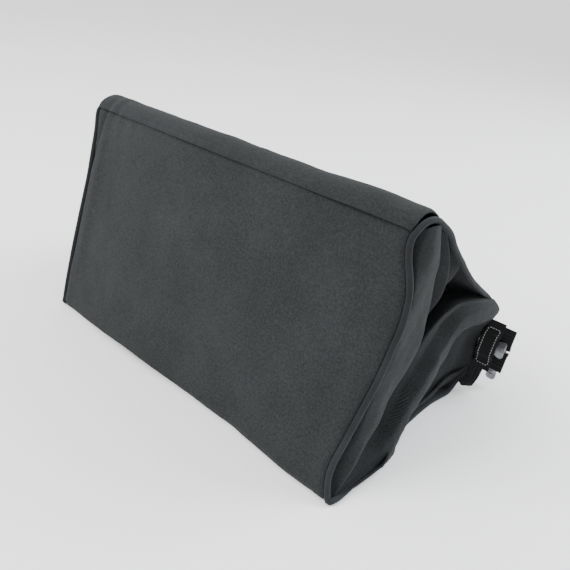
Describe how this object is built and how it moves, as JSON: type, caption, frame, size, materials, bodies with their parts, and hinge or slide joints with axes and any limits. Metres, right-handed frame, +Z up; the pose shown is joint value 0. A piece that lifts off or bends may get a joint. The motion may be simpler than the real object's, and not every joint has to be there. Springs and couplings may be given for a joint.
{
  "type": "film changing bag",
  "caption": "Wedge-shaped light-tight zip bag with a stiffened base panel, piped folding ends, an inner zipped bag and two elastic arm sleeves, for loading film by hand.",
  "frame": {"origin": "middle of the flat panel that the bag rests on, on its outer face", "axes": "+X along the zipper, +Y from the stiffened base panel towards the zipper, +Z up"},
  "size_m": [0.4128, 0.237, 0.2084],
  "materials": {
    "outer_cloth": "charcoal canvas, matt",
    "lining_cloth": "black closely woven cloth",
    "piping_cloth": "black bias-cut cover over a round cord",
    "webbing": "black ribbed webbing",
    "zip_tape": "black herringbone tape",
    "stiffener": "grey plastic board",
    "elastic": "woven elastic",
    "zip_metal": "dull nickel plate, worn at its edges"
  },
  "bodies": {
    "bag": {"base_panel": "outer_cloth", "base_board": "stiffener", "slope_panel": "outer_cloth", "rest_panel": "outer_cloth", "end_gusset_left": "outer_cloth", "end_gusset_right": "outer_cloth", "piping_left": "piping_cloth", "piping_right": "piping_cloth", "zip_tape_upper": "zip_tape", "zip_tape_lower": "zip_tape", "zip_teeth_upper": "zip_metal", "zip_teeth_lower": "zip_metal", "zip_stops": "zip_metal", "end_tab_left": "webbing", "end_tab_right": "webbing", "end_flap_left": "webbing", "end_flap_right": "webbing", "lining_base": "lining_cloth", "lining_slope": "lining_cloth", "lining_rest": "lining_cloth", "lining_end_left": "lining_cloth", "lining_end_right": "lining_cloth", "inner_zip_tape_upper": "zip_tape", "inner_zip_tape_lower": "zip_tape", "inner_zip_teeth_upper": "zip_metal", "inner_zip_teeth_lower": "zip_metal", "armhole_binding_left": "lining_cloth", "armhole_binding_right": "lining_cloth"},
    "slider": {"zip_slider": "zip_metal", "zip_bail": "zip_metal"},
    "pull": {"zip_pull": "zip_metal"},
    "inner_slider": {"inner_zip_slider": "zip_metal", "inner_zip_bail": "zip_metal"},
    "inner_pull": {"inner_zip_pull": "zip_metal"},
    "arm_sleeve_left": {"sleeve_left": "outer_cloth", "cuff_elastic_left": "elastic", "cuff_facing_left": "lining_cloth"},
    "arm_sleeve_right": {"sleeve_right": "outer_cloth", "cuff_elastic_right": "elastic", "cuff_facing_right": "lining_cloth"}
  },
  "joints": [
    {"name": "zip_slide", "type": "slide", "parent": "bag", "child": "slider", "axis": [1, 0, 0], "range_m": [-0.388, 0]},
    {"name": "pull_swing", "type": "hinge", "parent": "slider", "child": "pull", "pos_m": [0.194, 0.1317, 0.04541], "axis": [1, 0, 0], "range_deg": [-15, 150]},
    {"name": "inner_zip_slide", "type": "slide", "parent": "bag", "child": "inner_slider", "axis": [1, 0, 0], "range_m": [-0.3, 0]},
    {"name": "inner_pull_swing", "type": "hinge", "parent": "inner_slider", "child": "inner_pull", "pos_m": [0.15, 0.10742, 0.05192], "axis": [1, 0, 0], "range_deg": [-10, 30]},
    {"name": "sleeve_left_lift", "type": "hinge", "parent": "bag", "child": "arm_sleeve_left", "pos_m": [-0.088, -0.00162, 0.18603], "axis": [1, 0, 0], "range_deg": [0, 35]},
    {"name": "sleeve_right_lift", "type": "hinge", "parent": "bag", "child": "arm_sleeve_right", "pos_m": [0.088, -0.00162, 0.18603], "axis": [1, 0, 0], "range_deg": [0, 35]}
  ]
}
